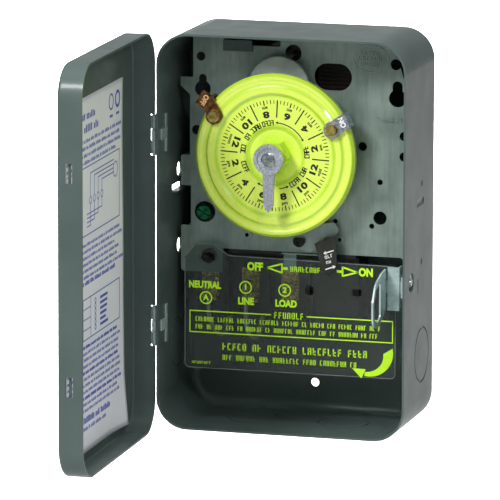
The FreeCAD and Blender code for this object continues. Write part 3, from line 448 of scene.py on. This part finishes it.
def dial_print():
    """Hours, quarter-hour ticks and two double arrows on the flat ring of the dial."""
    flat_below_top = 1.1
    marks = Marks(front_of("dial_disc", flat_below_top))
    centre = middle_of("dial_disc")
    first_line, line_inner, line_outer = 2.6, 18.7, 27.2
    hours = ["6", "4", "2", "12", "10", "8", "6", "4", "2", "12", "10", "8"]
    notes = ["AM", "AM", "AM", "MID", "PM", "PM", "PM", "PM", "PM", "NOON", "AM", "AM"]
    for i, (hour, note) in enumerate(zip(hours, notes)):
        line = first_line + 30 * i
        marks.stroke(around(centre, line_inner, line), around(centre, line_outer, line), 0.62)
        middle = line + 15
        marks.word(hour, around(centre, 20.4, middle), 3.1, 180 - middle, 1.45, 0.05)
        marks.word(note.lower(), around(centre, 23.5, middle), 1.6, 180 - middle, 1.1, 0.03)
        for tick in range(1, 8):
            clock = line + tick * 3.75
            inner, wide = (24.7, 0.55) if tick == 4 else (25.2, 0.4) if tick % 2 == 0 else (25.4, 0.34)
            marks.stroke(around(centre, inner, clock), around(centre, line_outer, clock), wide)
    arc_radius = 16.2
    for start, end in ((4, 60), (172, 158), (196, 209)):
        marks.arc(centre, arc_radius, 0.5, 90 - start, 90 - end)
    for tip, back in ((1, 5), (62, 58), (154, 159), (213, 208)):
        marks.polygon([around(centre, arc_radius, tip), around(centre, arc_radius - 0.75, back),
                       around(centre, arc_radius + 0.75, back)])
    # words that say nothing, each a start in degrees clockwise and a count of letter-like marks
    words = ((-3, 4), (-27, 4), (-53, 2), (-74, 3), (-103, 4), (151, 4), (124, 3), (91, 4))
    word_radius, pitch, letter_tall, letter_wide = 17.4, 5.2, 2.6, 1.05
    for start, letters in words:
        for i in range(letters):
            foot = Vector(around(centre, word_radius, start - pitch * i))
            down = (Vector(centre) - foot).normalized()
            right = Vector((-down.y, down.x)) * -1
            marks.stroke(foot, foot + down * letter_tall, 0.5)
            for level in dice.sample((0.08, 0.5, 0.92), 2):
                arm = foot + down * letter_tall * level
                marks.stroke(arm, arm + right * letter_wide, 0.46)
            if dice.random() < 0.35:
                far_side = foot + right * letter_wide
                marks.stroke(far_side, far_side + down * letter_tall, 0.5)
    marks.piece("dial_print", ink("dial_ink", srgb(12, 14, 8)), "dial")


def insulator_print():
    """Terminal letters and words, on and off arrows, a bordered panel, greeked lines and a curved arrow."""
    low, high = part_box("insulator")
    left, right, bottom = low[0] / MM, high[0] / MM, low[2] / MM
    marks = Marks(front_of("insulator"), sunk=0.02, proud=0.04)
    post_x, _ = middle_of("insulator_post")
    letters_at = {"A": (post_x - 0.8, -36.0), "1": (-24.0, -29.8), "2": (-4.2, -30.2)}
    for letter, place in letters_at.items():
        marks.arc(place, 2.9, 0.6)
        marks.word(letter, place, 2.7, weight=0.05)
    arrow_y = -19.4
    words = (("NEUTRAL", (-44.7, -29.7), 3.4, 0.8), ("LINE", (-23.8, -36.8), 3.4, 0.86),
             ("LOAD", (-3.5, -36.9), 3.4, 0.86), ("OFF", (-19.2, arrow_y), 3.9, 0.84),
             ("ON", (36.6, arrow_y), 3.9, 0.84))
    for text, place, tall, widen in words:
        marks.word(text, place, tall, widen=widen, weight=0.05)
    head, half, outline, shaft = 7.4, 2.2, 0.8, 2.9
    for tip, side in ((-13.0, 1), (32.3, -1)):
        base = tip + side * head
        marks.stroke((tip, arrow_y), (base, arrow_y + half), outline)
        marks.stroke((tip, arrow_y), (base, arrow_y - half), outline)
        marks.stroke((base, arrow_y - half - 0.3), (base, arrow_y + half + 0.3), outline)
        marks.stroke((base, arrow_y), (tip + side * (head + shaft), arrow_y), 1.3)
    marks.scribble((-1.4, arrow_y - 1.4), (1, 0), 8, 2.6, 1.95, 0.42)
    panel_left, panel_right, panel_top, panel_low = left + 2.4, right - 1.2, -42.4, -53.5
    line = 0.55
    heading_left, heading_right = -11.0, 7.0
    marks.bar(panel_left, panel_top - line, heading_left - panel_left, line)
    marks.bar(heading_right, panel_top - line, panel_right - heading_right, line)
    marks.bar(panel_left, panel_low, panel_right - panel_left, line)
    for x in (panel_left, panel_right - line):
        marks.bar(x, panel_low + line, line, panel_top - panel_low - 2 * line)
    marks.scribble((heading_left + 1.5, panel_top - 1.9), (1, 0), 7, 3.1, 2.2, 0.55)
    # greeked rows: left, foot, height, pitch and the count of places along the row
    rows = ((-49.4, -47.8, 2.3, 1.42, 66), (-49.4, -51.6, 2.3, 1.42, 66),
            (-35.7, -61.5, 3.5, 2.54, 30), (-35.6, -66.5, 2.6, 1.7, 40))
    for x, y, tall, pitch, count in rows:
        done = 0
        while done < count:
            letters = min(dice.choice((2, 3, 4, 5, 6, 7, 8)), count - done)
            marks.scribble((x + done * pitch, y), (1, 0), letters, tall, pitch, tall * 0.18)
            done += letters + 1
    marks.scribble((-51.2, bottom + 2.2), (1, 0), 8, 1.3, 1.25, 0.28)
    # a tapering band that curls from the panel's right end back under the words, and its head
    sweep_centre, sweep_radius = Vector((38.5, -58.5)), 12.0
    steps = 14

    def ring_point(radius, degrees):
        turn = math.radians(degrees)
        return sweep_centre + Vector((math.cos(turn), math.sin(turn))) * radius

    outer = [ring_point(sweep_radius, 12 - 114 * k / steps) for k in range(steps + 1)]
    inner = [ring_point(sweep_radius - 5.0 + 3.0 * k / steps, -4 - 98 * k / steps) for k in range(steps + 1)]
    for k in range(steps):
        marks.polygon([inner[k + 1], outer[k + 1], outer[k], inner[k]])
    marks.polygon([(29.8, -66.7), (34.6, -71.6), (36.8, -67.0)])
    marks.piece("insulator_print", ink("lime_ink", srgb(190, 250, 8)), "insulator")


def insulator_edge():
    """The bright line where the sheet's cut edge catches the light."""
    low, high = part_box("insulator")
    left, right, bottom = low[0] / MM, high[0] / MM, low[2] / MM
    marks = Marks(front_of("insulator"), sunk=0.02, proud=0.03)
    line, corner, shoulder = 0.3, 2.5, -16.5
    marks.bar(left, bottom + corner, line, shoulder - bottom - corner)
    marks.bar(right - line, bottom + corner, line, shoulder - bottom - corner)
    marks.bar(left + corner, bottom + 0.1, right - left - 2 * corner, line)
    marks.arc((left + corner, bottom + corner), corner - line / 2, line, 180, 270)
    marks.arc((right - corner, bottom + corner), corner - line / 2, line, 270, 360)
    top_edge = (((left + 0.4, -15.8), (-49.8, -10.0)), ((-49.0, -9.6), (-41.0, -9.2)),
                ((-40.2, -9.3), (-32.6, -14.5)), ((-32.4, -14.5), (right - 1, -15.7)))
    for start, end in top_edge:
        marks.stroke(start, end, line)
    finish = moulded("sheet_edge", srgb(96, 108, 104), srgb(136, 150, 146))
    marks.piece("insulator_edge", finish, "insulator")


def tripper_words():
    """Generic raised words on the flags of the two trippers."""
    centre = middle_of("dial_disc")
    for name, word, radius, shift, angle, finish in (
            ("tripper_on", "ON", 38.9, 1.4, 25.9, ink("white_paint", srgb(238, 240, 242))),
            ("tripper_off", "OFF", 43.3, -4.0, 148.3, ink("amber_paint", srgb(228, 176, 120)))):
        turn = math.radians(angle)
        spot = (centre[0] + radius * math.cos(turn) - shift * math.sin(turn),
                centre[1] + radius * math.sin(turn) + shift * math.cos(turn))
        marks = Marks(front_of(name), sunk=0.05, proud=0.18)
        marks.word(word, spot, 2.6, angle + 90, 0.9, 0.03)
        marks.piece(name + "_word", finish, name)


def lever_arrows():
    """Two white arrows and small letter-like marks on the hand lever."""
    marks = Marks(front_of("manual_lever"))
    tilt = Vector((0.94, 0.34))
    up = Vector((-tilt.y, tilt.x))
    for centre, way in (((18.6, -9.6), -1), ((19.4, -17.4), 1)):
        c = Vector(centre)
        tip = c + tilt * way * 2.9
        marks.stroke(c - tilt * way * 2.6, c + tilt * way * 1.9, 0.5)
        marks.polygon([tip, c + tilt * way * 1.4 + up * 0.95, c + tilt * way * 1.4 - up * 0.95])
    marks.scribble((17.0, -13.2), tilt, 3, 1.6, 1.5, 0.32)
    marks.scribble((17.6, -15.6), tilt, 2, 1.3, 1.4, 0.3)
    marks.piece("lever_arrows", ink("white_ink", srgb(238, 242, 238)), "lever")


def door_label():
    """The paper label, its lower corner by the hinge lifted off, with greeked print."""
    open_angle = math.radians(88.6)
    closed_right, closed_out = Vector((-1, 0, 0)), Vector((0, 1, 0))
    spin = Matrix.Rotation(-open_angle, 3, "Z")
    right, out = spin @ closed_right, spin @ closed_out
    low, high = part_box("door_label")
    corners = [Vector((x, y, 0)) for x in (low[0], high[0]) for y in (low[1], high[1])]
    start = min(corner.dot(right) for corner in corners)
    wide = (max(corner.dot(right) for corner in corners) - start) / MM
    pan_out = Vector((low[0], high[1], 0)).dot(out)
    tall = (high[2] - low[2]) / MM
    origin = right * start + out * pan_out + Vector((0, 0, low[2]))
    plane = Plane(origin / MM, right, (0, 0, 1))
    curl_wide, curl_tall = 26, 34
    columns, rows = 40, 60
    back_face, front_face = 0.02, 0.22

    def lift(u, v):
        """How far the paper stands off the door, rising towards the lower corner by the hinge."""
        across = 0.75 * max(0.0, u - (wide - curl_wide)) / curl_wide
        downward = 0.9 * max(0.0, curl_tall - v) / curl_tall
        return 3.6 * max(0.0, across + downward - 0.85) ** 1.6

    def grid_point(i, j):
        """Where a grid point lies: the edge by the hinge was cut by hand and wavers."""
        waver = 0.9 * math.sin(5.2 * j / rows + 0.6) + 0.4 * math.sin(13 * j / rows) - 1.0
        return (wide + waver) * i / columns, tall * j / rows

    shape = bmesh.new()
    grid = []
    for side in (back_face, front_face):
        grid.append([[shape.verts.new((*grid_point(i, j), side + lift(*grid_point(i, j))))
                      for j in range(rows + 1)] for i in range(columns + 1)])
    for i in range(columns):
        for j in range(rows):
            for layer, flip in ((grid[0], True), (grid[1], False)):
                face = [layer[i][j], layer[i + 1][j], layer[i + 1][j + 1], layer[i][j + 1]]
                shape.faces.new(face[::-1] if flip else face)
    edge = [(i, 0) for i in range(columns)] + [(columns, j) for j in range(rows)]
    edge += [(i, rows) for i in range(columns, 0, -1)] + [(0, j) for j in range(rows, 0, -1)]
    for (i, j), (k, m) in zip(edge, edge[1:] + edge[:1]):
        shape.faces.new((grid[0][i][j], grid[0][k][m], grid[1][k][m], grid[1][i][j]))
    shape.transform(plane.matrix)
    label = mesh_piece("label_sheet", shape, paper(), "door")
    for face in label.data.polygons:
        face.use_smooth = True
    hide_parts("door_label")

    marks = Marks(plane, sunk=0.0, proud=0.05)
    text_left, text_right = 5.0, wide - 8.0

    def line_of_words(y, height, stop=None, bold=0.62):
        """A row of words, each a run of letter-like bars."""
        x = text_left
        last = stop or text_right - dice.uniform(0, 10)
        pitch = height * 0.78
        while x < last:
            for _ in range(dice.randint(2, 8)):
                tall_letter = height * dice.choice((0.72, 0.86, 1.0, 1.0))
                marks.bar(x, y, pitch * bold, tall_letter)
                x += pitch
            x += pitch * 0.8

    y = tall - 11
    line_of_words(y, 3.2, text_left + 34)
    line_of_words(y - 6.2, 3.6, text_left + 52)
    for i in range(2):
        marks.arc((wide - 22 + 11 * i, tall - 9), 3.6, 0.9 + 0.5 * i)
        marks.bar(wide - 24.5 + 11 * i, tall - 16.5, 5, 1.2)
    y -= 11
    for _ in range(4):
        line_of_words(y, 1.7)
        y -= 3.4
    diagram_low, diagram_tall = 104, 33
    marks.frame(text_left, diagram_low, text_right - text_left, diagram_tall, 0.5)
    for i in range(4):
        x = text_left + 40 + 6.5 * i
        upper, lower = diagram_low + 29 - 2 * i, diagram_low + 4 + 2 * i
        marks.arc((x, diagram_low + 16), 1.7, 0.5)
        marks.stroke((x, diagram_low + 14.3), (x, lower), 0.5)
        marks.stroke((x, diagram_low + 17.7), (x, upper), 0.5)
        marks.stroke((x, upper), (text_right - 10, upper), 0.5)
        marks.stroke((text_left + 34, lower), (x, lower), 0.5)
    marks.arc((text_right - 7, diagram_low + 24), 3.6, 0.5)
    marks.stroke((text_left + 24, diagram_low), (text_left + 24, diagram_low + diagram_tall), 0.5)
    for i in range(4):
        marks.bar(text_left + 4, diagram_low + 6 + 6 * i, 14, 1.3)
    y = diagram_low - 5
    for _ in range(6):
        line_of_words(y, 1.5)
        y -= 3.1
    line_of_words(y, 2.0, bold=0.75)
    table_low, table_tall = 54, 20
    marks.frame(text_left, table_low, text_right - text_left, table_tall, 0.5)
    for i in (1, 2, 3):
        marks.stroke((text_left, table_low + i * 5), (text_left + 40, table_low + i * 5), 0.4)
    for x in (14, 27, 40):
        marks.stroke((text_left + x, table_low), (text_left + x, table_low + table_tall), 0.4)
    for i in range(6):
        marks.arc((text_left + 48, table_low + 3.4 + 2.6 * i), 1.1, 0.5)
        marks.bar(text_left + 56, table_low + 2.6 + 2.6 * i, dice.uniform(8, 15), 1.3)
    y = table_low - 4
    for row in range(11):
        line_of_words(y, 1.5, bold=0.8 if row % 4 == 0 else 0.6)
        y -= 3.05
    line_of_words(y - 2.4, 3.0, text_left + 64, 0.75)
    line_of_words(y - 6.0, 1.8, text_left + 60)
    for vert in marks.mesh.verts:
        vert.co.z += front_face + lift(vert.co.x, vert.co.y)
    marks.piece("label_print", ink("blue_ink", srgb(72, 80, 178)), "door")


def plate_stamp():
    """A raised oval pressed in the plate's top right, with greeked characters in it and below it."""
    marks = Marks(front_of("ground_washer", 0.3), sunk=0.05, proud=0.25)
    centre, a, b, wide, steps = Vector((37.2, 84.7)), 9.2, 6.9, 0.6, 40
    rim = [(math.cos(2 * math.pi * i / steps), math.sin(2 * math.pi * i / steps)) for i in range(steps)]
    for (c0, s0), (c1, s1) in zip(rim, rim[1:] + rim[:1]):
        ring = [((a - wide) * c0, (b - wide) * s0), (a * c0, b * s0), (a * c1, b * s1),
                ((a - wide) * c1, (b - wide) * s1)]
        marks.polygon([centre + Vector(corner) for corner in ring])
    for row, letters in ((2.6, 5), (0.0, 6), (-2.8, 5)):
        marks.scribble((centre.x - letters * 1.0, centre.y + row - 0.8), (1, 0), letters, 1.7, 2.0, 0.34)
    marks.scribble((40.6, 54.0), (1, 0), 7, 2.2, 2.0, 0.42)
    # the stamp is the plate's own metal; the bracket's lighter zinc on it is painted light on the raised
    # oval and characters
    marks.piece("plate_stamp", NODES["lever_bracket"].data.materials[0], "case")


# ---- scene -------------------------------------------------------------------------------------------

def camera():
    """A long lens looking at a point in the shared frame from an azimuth and elevation, with its roll."""
    azimuth, elevation, roll = (math.radians(a) for a in (15.93, 10.41, 0.13))
    distance_mm, target_mm, lens_mm = 2860.8, Vector((-23.44, -30.0, -12.28)), 422.4
    back = Vector((math.sin(azimuth) * math.cos(elevation), -math.cos(azimuth) * math.cos(elevation),
                   math.sin(elevation)))
    level = Vector((math.cos(azimuth), math.sin(azimuth), 0))
    rise = back.cross(level)
    right = level * math.cos(roll) + rise * math.sin(roll)
    up = rise * math.cos(roll) - level * math.sin(roll)
    data = bpy.data.cameras.new("camera")
    data.lens, data.sensor_width = lens_mm, 36.0
    data.clip_start, data.clip_end = 0.1, 50.0
    cam = bpy.data.objects.new("camera", data)
    bpy.context.collection.objects.link(cam)
    axes = Matrix((right, up, back)).transposed().to_4x4()
    cam.matrix_world = Matrix.Translation((target_mm + back * distance_mm) * MM) @ axes
    bpy.context.scene.camera = cam


def area_light(name, place, size, power, aim=(0, -0.03, 0)):
    """A round area lamp pointed at the object unless it is given another aim."""
    data = bpy.data.lights.new(name, "AREA")
    data.shape, data.size, data.energy = "DISK", size, power
    lamp = bpy.data.objects.new(name, data)
    bpy.context.collection.objects.link(lamp)
    lamp.location = place
    lamp.rotation_euler = (Vector(aim) - Vector(place)).to_track_quat("-Z", "Y").to_euler()


def studio():
    """An even white surround, four lamps and a pale floor well below the case."""
    scene = bpy.context.scene
    scene.view_settings.view_transform = "Standard"
    world = bpy.data.worlds.new("studio")
    world.use_nodes = True
    world.node_tree.nodes["Background"].inputs["Color"].default_value = (1, 1, 1, 1)
    world.node_tree.nodes["Background"].inputs["Strength"].default_value = 0.3
    scene.world = world
    area_light("key", (-0.75, -1.5, 1.35), 0.55, 36)
    area_light("fill", (1.1, -1.6, 1.0), 0.35, 7)
    area_light("top", (0.1, -0.2, 1.6), 0.9, 12)
    area_light("far_wash", (-1.3, 3.2, 0.35), 1.5, 190, aim=(-1.3, 3.3, -1))
    floor_drop, floor_size = 0.55, 14.0
    shape = bmesh.new()
    bmesh.ops.create_grid(shape, x_segments=8, y_segments=8, size=floor_size)
    shape.transform(Matrix.Translation((0, 0, -floor_drop)))
    mesh = bpy.data.meshes.new("floor")
    shape.to_mesh(mesh)
    shape.free()
    f = Finish("pale_floor")
    f.colour(f.ramp(f.noise(900, 2), (0.3, (0.88, 0.88, 0.88, 1)), (0.7, (0.9, 0.9, 0.9, 1))))
    mesh.materials.append(f.material)
    floor = bpy.data.objects.new("floor", mesh)
    bpy.context.collection.objects.link(floor)


dress_all()
dial_print()
insulator_print()
insulator_edge()
tripper_words()
lever_arrows()
door_label()
plate_stamp()
camera()
studio()

bpy.context.view_layer.update()
